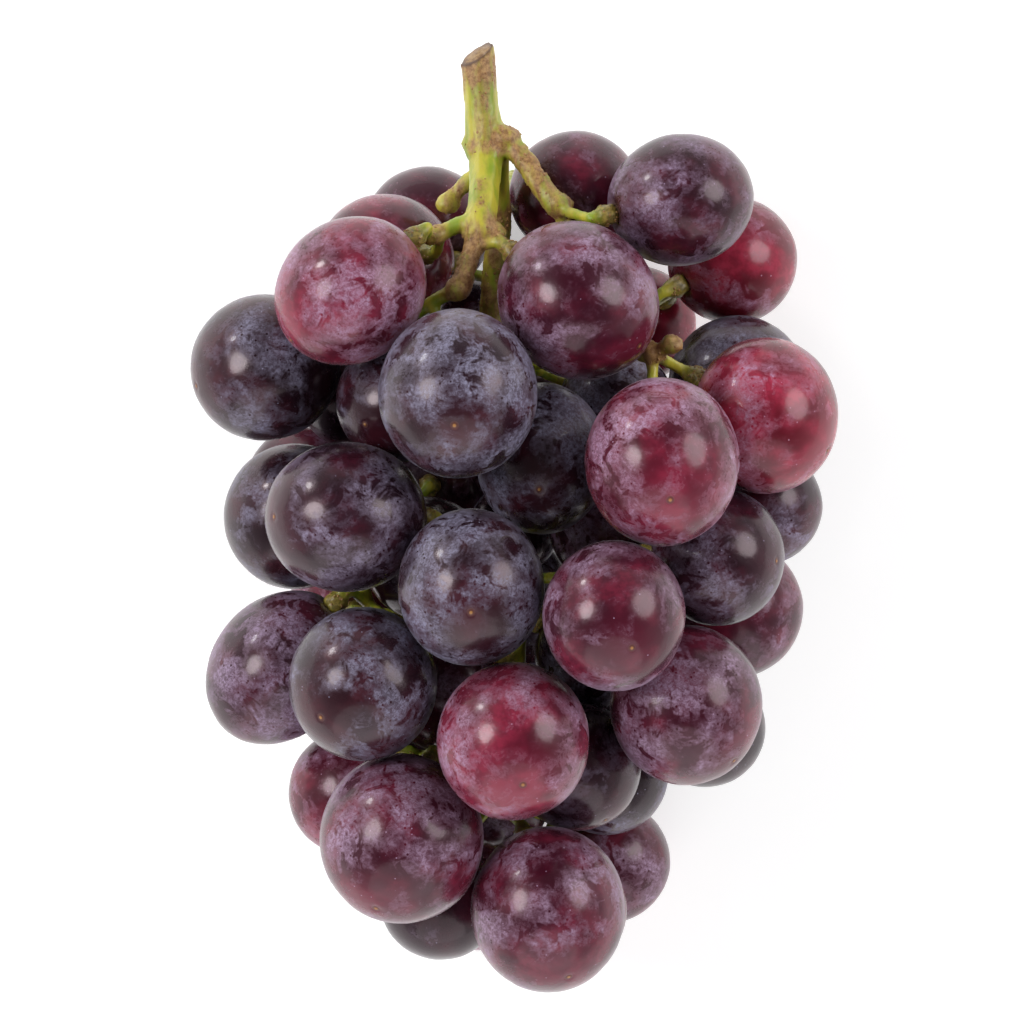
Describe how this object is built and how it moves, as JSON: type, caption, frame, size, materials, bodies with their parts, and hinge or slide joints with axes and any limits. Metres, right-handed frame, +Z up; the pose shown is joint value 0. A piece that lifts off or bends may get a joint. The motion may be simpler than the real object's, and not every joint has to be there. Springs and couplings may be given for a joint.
{
  "type": "bunch of grapes",
  "caption": "Bunch of plump dark red and purple table grapes with a cut green stalk, lying on its back as picked.",
  "frame": {"origin": "on the ground, under the middle of the bunch's box", "axes": "+Y along the bunch from its tip to its cut stalk, +X across it, +Z up, away from the ground it lies on"},
  "size_m": [0.1034, 0.1518, 0.0867],
  "materials": {
    "skin_red": "glossy red grape skin with a thin bluish wax bloom",
    "skin_purple": "glossy purple grape skin with a bluish wax bloom",
    "skin_dark": "glossy blue-black grape skin with a bluish wax bloom",
    "stalk_bark": "yellow-green stalk with tan corky streaks"
  },
  "bodies": {
    "root": {"grape_01": "skin_red", "grape_02": "skin_dark", "grape_03": "skin_purple", "grape_04": "skin_purple", "grape_05": "skin_dark", "grape_06": "skin_purple", "grape_07": "skin_purple", "grape_08": "skin_purple", "grape_09": "skin_red", "grape_10": "skin_red", "grape_11": "skin_dark", "grape_12": "skin_red", "grape_13": "skin_red", "grape_14": "skin_dark", "grape_15": "skin_dark", "grape_16": "skin_purple", "grape_17": "skin_dark", "grape_18": "skin_dark", "grape_19": "skin_dark", "grape_20": "skin_red", "grape_21": "skin_dark", "grape_22": "skin_purple", "grape_23": "skin_dark", "grape_24": "skin_purple", "grape_25": "skin_purple", "grape_26": "skin_purple", "grape_27": "skin_purple", "grape_28": "skin_purple", "grape_29": "skin_dark", "grape_30": "skin_red", "grape_31": "skin_red", "grape_32": "skin_red", "grape_33": "skin_dark", "grape_34": "skin_dark", "grape_35": "skin_purple", "grape_36": "skin_red", "grape_37": "skin_purple", "grape_38": "skin_red", "grape_39": "skin_dark", "grape_40": "skin_purple", "grape_41": "skin_purple", "grape_42": "skin_dark", "grape_43": "skin_red", "grape_44": "skin_dark", "grape_45": "skin_purple", "grape_46": "skin_purple", "grape_47": "skin_dark", "grape_48": "skin_red", "grape_49": "skin_dark", "grape_50": "skin_purple", "grape_51": "skin_purple", "grape_52": "skin_dark", "grape_53": "skin_red", "grape_54": "skin_dark", "grape_55": "skin_purple", "grape_56": "skin_purple", "grape_57": "skin_dark", "stalk": "stalk_bark"}
  },
  "joints": []
}
